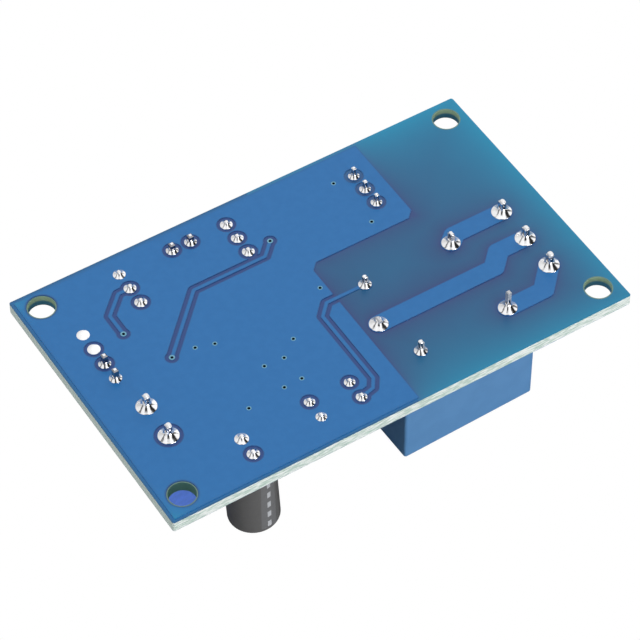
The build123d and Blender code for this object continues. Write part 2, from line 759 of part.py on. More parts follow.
def header_block(joints):
    """Moulded block, notched between its pins."""
    xs = [j[0] for j in joints]
    ys = [j[1] for j in joints]
    middle = (sum(xs) / len(xs), sum(ys) / len(ys))
    along_x = abs(xs[0] - xs[-1]) > abs(ys[0] - ys[-1])
    block = slab(header_body * 2, header_body, 0, header_body)
    for sx in (-1, 0, 1):
        for sy in (-1, 1):
            notch = Pos(sx * header_body, sy * header_body / 2) * Rectangle(
                header_notch, header_notch, rotation=45)
            block = block - drawn(notch, 0, header_body)
    block = seat(middle[0], middle[1], 0 if along_x else 90) * block
    return block - header_pins(joints)


def header_pins(joints):
    pins = []
    for j in joints:
        body = pin(j, header_pin_above)
        pins.append(chamfer(body.faces().sort_by(Axis.Z)[0].edges(), tip_share * header_pin))
    return pins


def comparator_body():
    base = Rectangle(comparator_width - 0.2, comparator_length - 0.2)
    waist = comparator_lead_z + lead_thickness / 2
    lower = extrude(Pos(0, 0, comparator_stand) * base, amount=waist - comparator_stand, taper=-7)
    upper = extrude(Pos(0, 0, comparator_height + comparator_stand) * base,
                    amount=waist - comparator_height - comparator_stand, taper=-7)
    body = lower + upper
    dimple = rod(0.6, comparator_height + comparator_stand - 0.1, comparator_height + comparator_stand,
                 -comparator_width / 2 + 0.8, comparator_length / 2 - 0.8)
    return seat(comparator_x, comparator_y) * (body - dimple)


def comparator_lead(side, y):
    """One gull-wing lead, bent down from the waist of the body to its land."""
    inner = comparator_width / 2 - 0.1
    knee = inner + 0.35
    ankle = knee + 0.2
    t = lead_thickness
    z = comparator_lead_z
    shape = Polyline((inner, z), (knee, z), (ankle, 0), (comparator_reach, 0), (comparator_reach, t),
                     (ankle + 0.75 * t, t), (knee + 0.75 * t, z + t), (inner, z + t), close=True)
    lead = extrude(make_face(Plane.XZ * shape), amount=lead_width / 2, both=True)
    lead = lead if side > 0 else mirror(lead, about=Plane.YZ)
    return Pos(0, y, 0) * lead


def comparator_leads():
    place = seat(comparator_x, comparator_y)
    body = comparator_body()
    return [place * comparator_lead(side, y) - body for side in (-1, 1) for y in row_of(4, lead_pitch)]


def chip_bodies(places, height):
    return [seat(x, y) * slab(chip_length - 2 * chip_end, chip_width, 0.03, height - 0.03) for x, y in places]


def chip_ends(places, height):
    offset = (chip_length - chip_end) / 2
    return [seat(x, y) * slab(chip_end, chip_width, 0, height, side * offset)
            for x, y in places for side in (-1, 1)]


def diode_body():
    base = Rectangle(diode_width - 0.3, diode_length - 0.3)
    lower = extrude(Pos(0, 0, 0.1) * base, amount=diode_height / 2 - 0.1, taper=-8)
    upper = extrude(Pos(0, 0, diode_height) * base, amount=-diode_height / 2, taper=-8)
    return seat(diode_x, diode_y) * (lower + upper)


def diode_tabs():
    """Flat tabs that wrap down the ends of the diode and under it."""
    body = diode_body()
    place = seat(diode_x, diode_y)
    tabs = []
    for side in (-1, 1):
        upright = slab(diode_tab_width, diode_tab, 0, diode_height / 2 + diode_tab, 0,
                       side * (diode_length / 2 + 0.3))
        foot = slab(diode_tab_width, 0.8, 0, 0.1, 0, side * (diode_length / 2 + 0.3 - 0.4))
        link = slab(diode_tab_width, 0.5, diode_height / 2 - 0.05, diode_height / 2 + 0.1, 0,
                    side * (diode_length / 2 + 0.1))
        tabs.append(place * (upright + foot + link) - body)
    return tabs


def solder_for(joints):
    return [solder_joint(j) for j in joints]


def save(name, solids):
    """Write one node: a single solid, or a group of separate ones."""
    group = solids if isinstance(solids, list) else [solids]
    pieces = [solid for shape in group for solid in shape.solids()]
    export_step(pieces[0] if len(pieces) == 1 else Compound(children=pieces), f"parts/{name}.step")


output_place = seat(output_x, output_y)
input_place = seat(input_x, input_y, 180)

os.makedirs("parts", exist_ok=True)
save("board_laminate", laminate())
save("solder_side_copper", solder_side_copper())
save("component_side_copper", component_side_copper())
save("via_barrels", via_barrels())
save("relay_case", relay_case())
save("relay_base", relay_base())
save("relay_pins", [pin(j, relay_pin_root) for j in relay_joints])
save("relay_yoke", relay_yoke())
save("relay_winding", relay_winding())
save("output_terminal_housing", terminal_housing(output_ways, output_place))
save("output_terminal_contacts", terminal_contacts(output_ways, output_place, output_joints))
save("input_terminal_housing", terminal_housing(input_ways, input_place))
save("input_terminal_contacts", terminal_contacts(input_ways, input_place, input_joints))
for number, y in enumerate(row_of(output_ways, way_pitch), 1):
    save(f"output_clamp_{number}", output_place * terminal_clamp(y))
    save(f"output_screw_{number}", output_place * terminal_screw(y))
for number, y in enumerate(row_of(input_ways, way_pitch), 1):
    save(f"input_clamp_{number}", input_place * terminal_clamp(y))
    save(f"input_screw_{number}", input_place * terminal_screw(y))
save("capacitor_can", capacitor_can())
save("capacitor_sleeve", capacitor_sleeve())
save("capacitor_bung", capacitor_bung())
save("capacitor_leads", capacitor_leads())
save("power_led", led_lens(power_led_x))
save("relay_led", led_lens(relay_led_x))
save("led_leads", led_leads())
save("regulator_body", device_body(regulator_x, 90))
save("regulator_leads", device_leads(regulator_joints, regulator_x))
save("transistor_body", device_body(transistor_x, 90))
save("transistor_leads", device_leads(transistor_joints, transistor_x))
save("trimmer_body", trimmer_body())
save("trimmer_screw", trimmer_screw())
save("trimmer_pins", trimmer_pins())
save("sensor_header_block", header_block(sensor_joints))
save("sensor_header_pins", header_pins(sensor_joints))
save("jumper_header_block", header_block(jumper_joints))
save("jumper_header_pins", header_pins(jumper_joints))
save("comparator_body", comparator_body())
save("comparator_leads", comparator_leads())
save("chip_resistors", chip_bodies(resistor_places, chip_height))
save("chip_resistor_ends", chip_ends(resistor_places, chip_height))
save("chip_capacitors", chip_bodies(capacitor_places, 2 * chip_height))
save("chip_capacitor_ends", chip_ends(capacitor_places, 2 * chip_height))
save("diode_body", diode_body())
save("diode_tabs", diode_tabs())
save("relay_solder", solder_for(relay_joints))
save("output_terminal_solder", solder_for(output_joints))
save("input_terminal_solder", solder_for(input_joints))
save("capacitor_solder", solder_for(capacitor_joints))
save("led_solder", solder_for(led_joints))
save("regulator_solder", solder_for(regulator_joints))
save("transistor_solder", solder_for(transistor_joints))
save("trimmer_solder", solder_for(trimmer_joints))
save("header_solder", solder_for(sensor_joints + jumper_joints))
save("spare_hole_solder", [spare_joint(j) for j in spare_joints])
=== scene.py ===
import bpy, bmesh, math, random
from mathutils import Matrix, Vector, noise


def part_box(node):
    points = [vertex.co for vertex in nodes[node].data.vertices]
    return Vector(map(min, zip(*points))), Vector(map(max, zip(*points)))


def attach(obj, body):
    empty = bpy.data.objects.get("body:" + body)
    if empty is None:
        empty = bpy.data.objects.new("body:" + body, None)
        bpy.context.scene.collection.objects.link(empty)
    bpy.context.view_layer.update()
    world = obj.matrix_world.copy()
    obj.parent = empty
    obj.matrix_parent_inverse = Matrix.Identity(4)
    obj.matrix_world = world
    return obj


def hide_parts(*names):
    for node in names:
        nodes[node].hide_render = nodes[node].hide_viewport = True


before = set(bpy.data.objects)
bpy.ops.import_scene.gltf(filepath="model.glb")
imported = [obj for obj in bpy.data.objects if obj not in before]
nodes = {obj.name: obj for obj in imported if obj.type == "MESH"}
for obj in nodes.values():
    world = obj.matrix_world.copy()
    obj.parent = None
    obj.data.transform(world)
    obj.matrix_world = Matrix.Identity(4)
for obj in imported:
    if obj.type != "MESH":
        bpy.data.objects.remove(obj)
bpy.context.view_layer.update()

mm = 0.001

# The picture is taken from in front, left and well above with a long lens, so the
# board's edges run almost parallel. The camera leans over by a tenth of a degree.
camera_data = bpy.data.cameras.new("camera")
camera_data.lens = 182.1
camera_data.sensor_width = 36.0
camera_data.clip_start = 0.01
camera_data.clip_end = 5.0
camera = bpy.data.objects.new("camera", camera_data)
right = Vector((0.84636, -0.53261, -0.00193))
down = Vector((-0.40879, -0.64728, -0.64337))
forward = Vector((0.34141, 0.54531, -0.76555))
turned = Matrix((right, -down, -forward)).transposed()
camera.matrix_world = Matrix.Translation(Vector((-131.194, -209.410, 289.859)) * mm) @ turned.to_4x4()
bpy.context.scene.collection.objects.link(camera)
bpy.context.scene.camera = camera
bpy.context.scene.view_settings.view_transform = "Standard"


# The board is a woven glass laminate, sawn from a larger panel and drilled. Blue mask
# covers both faces; the sawn edge and a thin ring at each mounting hole stay bare.
def new_material(name):
    material = bpy.data.materials.new(name)
    material.use_nodes = True
    return material, material.node_tree, material.node_tree.nodes["Principled BSDF"]


def sums(tree, operation, a, b=0.0, c=0.0):
    """One step of arithmetic on sockets or plain numbers."""
    node = tree.nodes.new("ShaderNodeMath")
    node.operation = operation
    for socket, value in zip(node.inputs, (a, b, c)):
        if isinstance(value, bpy.types.NodeSocket):
            tree.links.new(value, socket)
        else:
            socket.default_value = value
    return node.outputs[0]


def between(tree, value, low, high):
    """0 below low, 1 above high, smooth in between."""
    node = tree.nodes.new("ShaderNodeMapRange")
    node.interpolation_type = "SMOOTHSTEP"
    tree.links.new(value, node.inputs["Value"])
    node.inputs["From Min"].default_value = low
    node.inputs["From Max"].default_value = high
    return node.outputs["Result"]


def mixed(tree, share, a, b):
    node = tree.nodes.new("ShaderNodeMix")
    node.data_type = "RGBA"
    for socket, value in ((node.inputs["Factor"], share), (node.inputs["A"], a), (node.inputs["B"], b)):
        if isinstance(value, bpy.types.NodeSocket):
            tree.links.new(value, socket)
        elif isinstance(value, tuple):
            socket.default_value = value + (1.0,)
        else:
            socket.default_value = value
    return node.outputs["Result"]


def place_in(tree):
    """Place on the piece in millimetres of the board's frame."""
    coords = tree.nodes.new("ShaderNodeTexCoord")
    scale = tree.nodes.new("ShaderNodeVectorMath")
    scale.operation = "SCALE"
    scale.inputs["Scale"].default_value = 1000.0
    tree.links.new(coords.outputs["Object"], scale.inputs[0])
    split = tree.nodes.new("ShaderNodeSeparateXYZ")
    tree.links.new(scale.outputs[0], split.inputs[0])
    return scale.outputs[0], split.outputs[0], split.outputs[1], split.outputs[2]


def speckle(tree, where, scale, detail=2.0, stretch=(1, 1, 1)):
    spread = tree.nodes.new("ShaderNodeMapping")
    spread.inputs["Scale"].default_value = stretch
    tree.links.new(where, spread.inputs["Vector"])
    node = tree.nodes.new("ShaderNodeTexNoise")
    node.inputs["Scale"].default_value = scale
    node.inputs["Detail"].default_value = detail
    tree.links.new(spread.outputs[0], node.inputs["Vector"])
    return node.outputs["Fac"]


def bumped(tree, shader, height, distance):
    node = tree.nodes.new("ShaderNodeBump")
    node.inputs["Distance"].default_value = distance
    tree.links.new(height, node.inputs["Height"])
    tree.links.new(node.outputs["Normal"], shader.inputs["Normal"])


def hypotenuse(tree, a, b):
    return sums(tree, "SQRT", sums(tree, "ADD", sums(tree, "MULTIPLY", a, a), sums(tree, "MULTIPLY", b, b)))


def to_line(tree, x, y, start, end, half_width):
    """Distance to a straight strip with round ends."""
    dx, dy = end[0] - start[0], end[1] - start[1]
    square = dx * dx + dy * dy
    px, py = sums(tree, "SUBTRACT", x, start[0]), sums(tree, "SUBTRACT", y, start[1])
    along = sums(tree, "MULTIPLY_ADD", px, dx / square, sums(tree, "MULTIPLY", py, dy / square))
    along = sums(tree, "MINIMUM", sums(tree, "MAXIMUM", along, 0.0), 1.0)
    off_x = sums(tree, "MULTIPLY_ADD", along, -dx, px)
    off_y = sums(tree, "MULTIPLY_ADD", along, -dy, py)
    return sums(tree, "SUBTRACT", hypotenuse(tree, off_x, off_y), half_width)


def tinted(tree, amount, colour, onto):
    """Adds amount times colour to a colour or a socket."""
    node = tree.nodes.new("ShaderNodeVectorMath")
    node.operation = "MULTIPLY_ADD"
    node.inputs[0].default_value = colour
    grown = tree.nodes.new("ShaderNodeCombineXYZ")
    for socket in grown.inputs:
        tree.links.new(amount, socket)
    tree.links.new(grown.outputs[0], node.inputs[1])
    if isinstance(onto, tuple):
        node.inputs[2].default_value = onto
    else:
        tree.links.new(onto, node.inputs[2])
    return node.outputs[0]


def to_board_edges(tree, x, y):
    """Distances to the nearer end and to the nearer long side of the board."""
    to_end = sums(tree, "MINIMUM", sums(tree, "SUBTRACT", x, board_left),
                  sums(tree, "SUBTRACT", board_right, x))
    to_side = sums(tree, "MINIMUM", sums(tree, "SUBTRACT", y, board_front),
                   sums(tree, "SUBTRACT", board_back, y))
    return to_end, to_side


def from_screw_hole(tree, x, y):
    """Distance to the centre of the nearest mounting hole."""
    hole_x = sums(tree, "SUBTRACT", sums(tree, "ABSOLUTE", x), screw_hole_x)
    hole_y = sums(tree, "SUBTRACT", sums(tree, "ABSOLUTE", y), screw_hole_y)
    return hypotenuse(tree, hole_x, hole_y)


board_left, board_right, board_front, board_back = -31.47, 31.13, -19.25, 18.85
screw_hole_x, screw_hole_y = 28.5, 16.2
screw_hole_radius, bare_ring_radius = 1.66, 1.78
pour_edge_x, pour_step_x, pour_step_y = 1.53, 16.6, 4.9
wide_track_half = 1.275
wide_tracks = [(17.71, -1.09), (18.75, -0.19), (25.63, -0.19)], \
    [(3.57, -7.09), (19.85, -7.09), (21.75, -5.19), (25.63, -5.19)], \
    [(17.71, -13.09), (22.85, -13.09), (25.63, -10.19)]

laminate_finish, tree, shader = new_material("laminate")
where, x, y, z = place_in(tree)
to_end, to_side = to_board_edges(tree, x, y)
to_edge = sums(tree, "MINIMUM", to_end, to_side)
past_step_x = sums(tree, "MAXIMUM", sums(tree, "SUBTRACT", x, pour_step_x), 0.0)
past_step_y = sums(tree, "MAXIMUM", sums(tree, "SUBTRACT", pour_step_y, y), 0.0)
to_pour = sums(tree, "MINIMUM", sums(tree, "SUBTRACT", x, pour_edge_x),
               hypotenuse(tree, past_step_x, past_step_y))
to_copper = to_pour
for line in wide_tracks:
    for start, end in zip(line, line[1:]):
        to_copper = sums(tree, "MINIMUM", to_copper, to_line(tree, x, y, start, end, wide_track_half))
to_copper = sums(tree, "MAXIMUM", to_copper, 0.0)
# Painted light and shade on the open mask: it is painted lighter and greener towards the board's edges, for
# light leaking through the laminate. It is painted darker near the copper, which blocks that light, and
# darker still in a thin band along the copper's edges.
painted_edge_glow = sums(tree, "EXPONENT", sums(tree, "MULTIPLY", to_edge, -0.25))
shade = sums(tree, "EXPONENT", sums(tree, "MULTIPLY", to_copper, -0.4))
painted_copper_edge_shade = sums(tree, "EXPONENT", sums(tree, "MULTIPLY", to_copper, -3.0))
cloud = sums(tree, "SUBTRACT", speckle(tree, where, 0.16, 2.0), 0.5)
open_mask = tinted(tree, painted_edge_glow, (-0.010, 0.135, 0.180), (0.010, 0.126, 0.285))
open_mask = tinted(tree, shade, (0.011, -0.049, -0.062), open_mask)
open_mask = tinted(tree, painted_copper_edge_shade, (0.008, -0.016, -0.004), open_mask)
open_mask = tinted(tree, y, (-0.0001, 0.0010, 0.0015), open_mask)
open_mask = tinted(tree, cloud, (0.0, 0.02, 0.03), open_mask)
beside_pour = sums(tree, "LESS_THAN", to_pour, -0.3)
in_pour = sums(tree, "MULTIPLY", beside_pour, sums(tree, "GREATER_THAN", to_edge, 0.56))
strip = mixed(tree, between(tree, to_edge, 0.0, 0.5), (0.011, 0.122, 0.290), (0.007, 0.156, 0.425))
mask = mixed(tree, beside_pour, open_mask, strip)
mask = mixed(tree, in_pour, mask, (0.019, 0.066, 0.247))
from_hole = from_screw_hole(tree, x, y)
bare_ring = sums(tree, "LESS_THAN", from_hole, bare_ring_radius)
fibre = speckle(tree, where, 0.9, 4.0, (1.0, 1.0, 6.0))
sawn = mixed(tree, between(tree, fibre, 0.34, 0.66), (0.50, 0.65, 0.58), (0.92, 0.97, 0.95))
in_hole = sums(tree, "LESS_THAN", from_hole, screw_hole_radius)
# Painted light: sawn edges that face left are painted a paler, even green, for light that leaks out of the
# laminate there.
sawn_facing_for_painted_glow = tree.nodes.new("ShaderNodeSeparateXYZ")
tree.links.new(tree.nodes["Texture Coordinate"].outputs["Normal"], sawn_facing_for_painted_glow.inputs[0])
sawn = mixed(tree, sums(tree, "LESS_THAN", sawn_facing_for_painted_glow.outputs[0], -0.9), sawn, (0.83, 0.97, 0.91))
# Painted shade in the mounting holes: the wall is olive near the top face and painted dark blue deeper
# down. The hole at the front left is painted a darker blue-green all over.
front_left_hole_painted_shade = sums(tree, "MULTIPLY", sums(tree, "LESS_THAN", x, 0.0), sums(tree, "LESS_THAN", y, 0.0))
drilled = mixed(tree, between(tree, z, -0.95, -0.55), (0.060, 0.230, 0.350), (0.42, 0.58, 0.38))
drilled = mixed(tree, front_left_hole_painted_shade, drilled, (0.090, 0.235, 0.215))
sawn = mixed(tree, in_hole, sawn, drilled)
face = sums(tree, "MAXIMUM", sums(tree, "GREATER_THAN", z, -0.09), sums(tree, "LESS_THAN", z, -1.50))
faces = mixed(tree, bare_ring, mask, (0.150, 0.270, 0.215))
tree.links.new(mixed(tree, face, sawn, faces), shader.inputs["Base Color"])
tree.links.new(mixed(tree, face, (0.75, 0.75, 0.75), (0.30, 0.30, 0.30)), shader.inputs["Roughness"])
shader.inputs["Specular IOR Level"].default_value = 0.4
bumped(tree, shader, speckle(tree, where, 1.1, 1.0, (1.0, 1.0, 0.2)), 0.00001)


def dress(finish, *names):
    for name in names:
        nodes[name].data.materials.clear()
        nodes[name].data.materials.append(finish)


dress(laminate_finish, "board_laminate")

# The copper is etched foil under the same mask. Where the foil ends the mask runs thin
# over its edge and shows lighter, with a painted highlight added there, so every line of the drawing has a
# fine pale rim above a painted shade on the foil's side wall. Small plated holes join both faces, and the
# mask runs thin over their rims.
copper_finish, tree, shader = new_material("masked_copper")
where, x, y, z = place_in(tree)
geometry = tree.nodes.new("ShaderNodeNewGeometry")
rounded = tree.nodes.new("ShaderNodeBevel")
rounded.samples = 8
rounded.inputs["Radius"].default_value = 0.00028
likeness = tree.nodes.new("ShaderNodeVectorMath")
likeness.operation = "DOT_PRODUCT"
tree.links.new(rounded.outputs[0], likeness.inputs[0])
tree.links.new(geometry.outputs["True Normal"], likeness.inputs[1])
# The rounded edge of the foil: its top is partly thin mask and partly a painted highlight, and its steeper
# side wall gets a painted shade.
tilt = sums(tree, "SUBTRACT", 1.0, likeness.outputs["Value"])
thin_mask_and_highlight = between(tree, tilt, 0.0, 0.05)
painted_wall_shade = between(tree, tilt, 0.06, 0.26)
cloud = speckle(tree, where, 0.9, 4.0)
tone = mixed(tree, between(tree, cloud, 0.3, 0.7), (0.008, 0.160, 0.456), (0.011, 0.170, 0.474))
to_end, to_side = to_board_edges(tree, x, y)
inside = between(tree, sums(tree, "MINIMUM", to_end, to_side), 0.3, 0.9)
tone = mixed(tree, inside, (0.009, 0.148, 0.405), tone)
# Painted light: the copper is painted a lighter teal close to the board's corners, for light glowing
# through the laminate there.
corner = sums(tree, "EXPONENT", sums(tree, "MULTIPLY", hypotenuse(tree, to_end, to_side), -0.8))
tone = tinted(tree, corner, (-0.004, 0.16, 0.06), tone)
thin_mask_and_highlight, painted_wall_shade = sums(tree, "MULTIPLY", thin_mask_and_highlight, inside), sums(tree, "MULTIPLY", painted_wall_shade, inside)
tone = mixed(tree, thin_mask_and_highlight, tone, (0.016, 0.182, 0.460))
tone = mixed(tree, painted_wall_shade, tone, (0.015, 0.100, 0.320))
# Painted shadow: a soft darker ring is painted on the copper round each mounting hole.
clear_of_painted_hole_shadow = between(tree, from_screw_hole(tree, x, y), 1.75, 2.15)
tone = mixed(tree, clear_of_painted_hole_shadow, (0.014, 0.100, 0.290), tone)
track_ends = (-22.42, 7.5), (-19.44, 1.43), (-0.39, 10.69)
barrels = []
for v in nodes["via_barrels"].data.vertices:
    spot = (nodes["via_barrels"].matrix_world @ v.co).xy / mm
    near = [barrel for barrel in barrels if (spot - barrel[0]).length < 0.6]
    if near:
        near[0].append(spot)
    else:
        barrels.append([spot])
from_via = 9.0
for barrel in barrels:
    centre = sum(barrel, Vector((0, 0))) / len(barrel)
    off_x, off_y = sums(tree, "SUBTRACT", x, centre.x), sums(tree, "SUBTRACT", y, centre.y)
    at_track_end = any((centre - Vector(end)).length < 0.5 for end in track_ends)
    off = sums(tree, "MULTIPLY", hypotenuse(tree, off_x, off_y), 0.82 if at_track_end else 1.0)
    from_via = sums(tree, "MINIMUM", from_via, off)
thin = sums(tree, "SUBTRACT", 1.0, between(tree, from_via, 0.27, 0.33))
tree.links.new(mixed(tree, thin, tone, (0.170, 0.430, 0.570)), shader.inputs["Base Color"])
shader.inputs["Roughness"].default_value = 0.30
shader.inputs["Specular IOR Level"].default_value = 0.4
bumped(tree, shader, speckle(tree, where, 1.1, 1.0), 0.00001)

plating_finish, tree, shader = new_material("plating")
where, x, y, z = place_in(tree)
land = mixed(tree, speckle(tree, where, 3.0), (0.150, 0.400, 0.550), (0.190, 0.440, 0.590))
# Painted shade: below the face the barrel's wall is painted near black, for the dark inside of the small
# hole.
at_face = between(tree, z, -0.10, 0.02)
tree.links.new(mixed(tree, at_face, (0.001, 0.004, 0.010), land), shader.inputs["Base Color"])
shader.inputs["Roughness"].default_value = 0.4
dress(copper_finish, "solder_side_copper", "component_side_copper")
dress(plating_finish, "via_barrels")


# Small parts sit soldered to the component side: glazed chip resistors, two ceramic
# capacitors, the comparator and the diode in black moulded epoxy with tinned leads.
def plain_finish(name, colour, roughness, metallic=0.0, spread=0.08, scale=1.5, relief=0.0):
    """One colour with a faint change of tone over the piece."""
    material, tree, shader = new_material(name)
    where, x, y, z = place_in(tree)
    dark = tuple(c * (1 - spread) for c in colour)
    light = tuple(min(1.0, c * (1 + spread)) for c in colour)
    tone = between(tree, speckle(tree, where, scale, 3.0), 0.3, 0.7)
    tree.links.new(mixed(tree, tone, dark, light), shader.inputs["Base Color"])
    shader.inputs["Roughness"].default_value = roughness
    shader.inputs["Metallic"].default_value = metallic
    if relief:
        bumped(tree, shader, speckle(tree, where, scale * 6, 2.0), relief)
    return material


epoxy_finish = plain_finish("black_epoxy", (0.022, 0.022, 0.024), 0.55, relief=0.00001)
tinned_finish = plain_finish("tinned_pin", (0.86, 0.86, 0.87), 0.16, 1.0, relief=0.000006)
chip_end_finish = plain_finish("chip_ends", (0.66, 0.66, 0.67), 0.4, 1.0)
dress(epoxy_finish, "comparator_body", "diode_body", "regulator_body", "transistor_body")
dress(tinned_finish, "comparator_leads", "diode_tabs")
dress(plain_finish("chip_resistor", (0.015, 0.015, 0.018), 0.25), "chip_resistors")
dress(plain_finish("chip_capacitor", (0.36, 0.24, 0.14), 0.45), "chip_capacitors")
dress(chip_end_finish, "chip_resistor_ends", "chip_capacitor_ends")


# The relay is a sealed box of blue moulded plastic, potted from below, with flat tinned
# pins. Its case takes a fine grain from the mould.
relay_finish, tree, shader = new_material("relay_plastic")
where, x, y, z = place_in(tree)
tone = between(tree, speckle(tree, where, 0.5, 4.0), 0.3, 0.7)
tree.links.new(mixed(tree, tone, (0.110, 0.288, 0.570), (0.120, 0.306, 0.598)), shader.inputs["Base Color"])
shader.inputs["Roughness"].default_value = 0.42
bumped(tree, shader, speckle(tree, where, 9.0, 2.0), 0.000008)
dress(relay_finish, "relay_case")
dress(plain_finish("relay_base", (0.012, 0.035, 0.09), 0.5), "relay_base")
dress(plain_finish("dull_tin", (0.62, 0.63, 0.65), 0.38, 0.45), "relay_pins")
dress(plain_finish("iron", (0.42, 0.42, 0.43), 0.4, 1.0), "relay_yoke")
dress(plain_finish("copper_wire", (0.60, 0.22, 0.09), 0.35, 0.8), "relay_winding")


# The screw terminals are blue moulded blocks. In each way a screw drives a plate down
# on the wire inside a bent and tinned metal box, whose pin goes through the board.
dress(plain_finish("terminal_plastic", (0.095, 0.210, 0.720), 0.42, relief=0.00001),
      "output_terminal_housing", "input_terminal_housing")
dress(tinned_finish, "output_terminal_contacts", "input_terminal_contacts")
clamp_finish = plain_finish("clamp_brass", (0.60, 0.56, 0.46), 0.35, 1.0)
steel_finish = plain_finish("screw_steel", (0.58, 0.59, 0.60), 0.3, 1.0)
dress(clamp_finish, *[name for name in nodes if "_clamp_" in name])
dress(steel_finish, *[name for name in nodes if "_screw_" in name])


# The capacitor is a rolled aluminium can in a shrunk black sleeve, closed by a rubber
# bung. A paler stripe with minus signs runs down the sleeve on the side of its short lead.
sleeve_x, sleeve_y, sleeve_round_z = -18.7, -14.37, -12.3
stripe_angle, stripe_half, dash_half, dashes_per_mm = -1.34, 0.34, 0.08, 0.56

sleeve_finish, tree, shader = new_material("capacitor_sleeve")
where, x, y, z = place_in(tree)
angle = sums(tree, "ARCTAN2", sums(tree, "SUBTRACT", y, sleeve_y), sums(tree, "SUBTRACT", x, sleeve_x))
turned = sums(tree, "WRAP", sums(tree, "SUBTRACT", angle, stripe_angle), math.pi, -math.pi)
off = sums(tree, "ABSOLUTE", turned)
stripe = sums(tree, "LESS_THAN", off, stripe_half)
dash_z = sums(tree, "SUBTRACT", sums(tree, "FRACT", sums(tree, "MULTIPLY", z, dashes_per_mm)), 0.5)
dash_z = sums(tree, "LESS_THAN", sums(tree, "ABSOLUTE", dash_z), 0.27)
dash = sums(tree, "MULTIPLY", sums(tree, "LESS_THAN", off, dash_half), dash_z)
side_only = sums(tree, "GREATER_THAN", z, sleeve_round_z)
stripe = sums(tree, "MULTIPLY", stripe, side_only)
dash = sums(tree, "MULTIPLY", dash, side_only)
sleeve = mixed(tree, stripe, (0.132, 0.132, 0.132), (0.175, 0.178, 0.185))
tree.links.new(mixed(tree, dash, sleeve, (0.55, 0.57, 0.60)), shader.inputs["Base Color"])
shader.inputs["Roughness"].default_value = 0.3
bumped(tree, shader, speckle(tree, where, 1.2, 1.0), 0.00003)
dress(sleeve_finish, "capacitor_sleeve")
dress(plain_finish("can_aluminium", (0.80, 0.81, 0.82), 0.3, 1.0), "capacitor_can")
dress(plain_finish("bung_rubber", (0.02, 0.02, 0.02), 0.7), "capacitor_bung")
dress(tinned_finish, "capacitor_leads")


# Two light-emitting diodes of clear tinted epoxy, a small regulator and a transistor
# stand on thin leads that are cut short above the solder.
def lens_finish(name, colour):
    material, tree, shader = new_material(name)
    where, x, y, z = place_in(tree)
    dark = tuple(c * 0.8 for c in colour)
    tree.links.new(mixed(tree, speckle(tree, where, 0.8), dark, colour), shader.inputs["Base Color"])
    shader.inputs["Roughness"].default_value = 0.08
    shader.inputs["Transmission Weight"].default_value = 0.6
    shader.inputs["IOR"].default_value = 1.52
    return material


dress(lens_finish("red_lens", (0.80, 0.03, 0.02)), "power_led")
dress(lens_finish("green_lens", (0.06, 0.62, 0.14)), "relay_led")
dress(tinned_finish, "led_leads", "regulator_leads", "transistor_leads", "trimmer_pins")


# The trimmer is a moulded blue box with a brass screw, and the headers are black blocks
# with tinned square pins.
dress(plain_finish("trimmer_plastic", (0.020, 0.075, 0.36), 0.4), "trimmer_body")
dress(plain_finish("brass", (0.78, 0.58, 0.26), 0.3, 1.0), "trimmer_screw")
dress(plain_finish("header_plastic", (0.02, 0.02, 0.02), 0.5), "sensor_header_block", "jumper_header_block")
post_finish, tree, shader = new_material("tinned_post")
where, x, y, z = place_in(tree)
upright = tree.nodes.new("ShaderNodeSeparateXYZ")
tree.links.new(tree.nodes["Texture Coordinate"].outputs["Normal"], upright.inputs[0])
# Painted reflection: the pins' sides are painted dark grey for the dark surroundings they mirror, and only
# the faces that look up or down keep the bright tin.
facing_up_or_down = between(tree, sums(tree, "ABSOLUTE", upright.outputs[2]), 0.72, 0.95)
tree.links.new(mixed(tree, facing_up_or_down, (0.34, 0.34, 0.36), (0.88, 0.88, 0.89)), shader.inputs["Base Color"])
shader.inputs["Metallic"].default_value = 1.0
shader.inputs["Roughness"].default_value = 0.16
bumped(tree, shader, speckle(tree, where, 9.0, 2.0), 0.000004)
dress(post_finish, "sensor_header_pins", "jumper_header_pins")


# Every lead is fixed by a joint of bright solder. It wets the whole pad, climbs the pin
# in a steep hollow curve and leaves a thin coat on the longer pins, rounded at the tip.
solder_finish, tree, shader = new_material("solder")
where, x, y, z = place_in(tree)
up_the_pin = between(tree, z, 1.5, 1.9)
dull = sums(tree, "MULTIPLY_ADD", up_the_pin, 0.28, 0.12)
tree.links.new(dull, shader.inputs["Roughness"])
tree.links.new(sums(tree, "MULTIPLY_ADD", up_the_pin, -0.55, 1.0), shader.inputs["Metallic"])
bright = mixed(tree, speckle(tree, where, 2.5), (0.88, 0.88, 0.90), (0.97, 0.97, 0.97))
upright = tree.nodes.new("ShaderNodeSeparateXYZ")
tree.links.new(tree.nodes["Texture Coordinate"].outputs["Normal"], upright.inputs[0])
# Painted reflection: steep faces of the solder, on the pin and the neck of the cone, are painted dark grey
# for the dark things they mirror. They are painted less dark high up the pin.
steep_painted_dark = sums(tree, "SUBTRACT", 1.0, between(tree, upright.outputs[2], 0.22, 0.60))
steep_painted_dark = sums(tree, "MULTIPLY", steep_painted_dark, sums(tree, "MULTIPLY_ADD", up_the_pin, -0.6, 1.0))
tree.links.new(mixed(tree, steep_painted_dark, bright, (0.30, 0.30, 0.32)), shader.inputs["Base Color"])
bumped(tree, shader, speckle(tree, where, 2.2, 2.0), 0.000012)


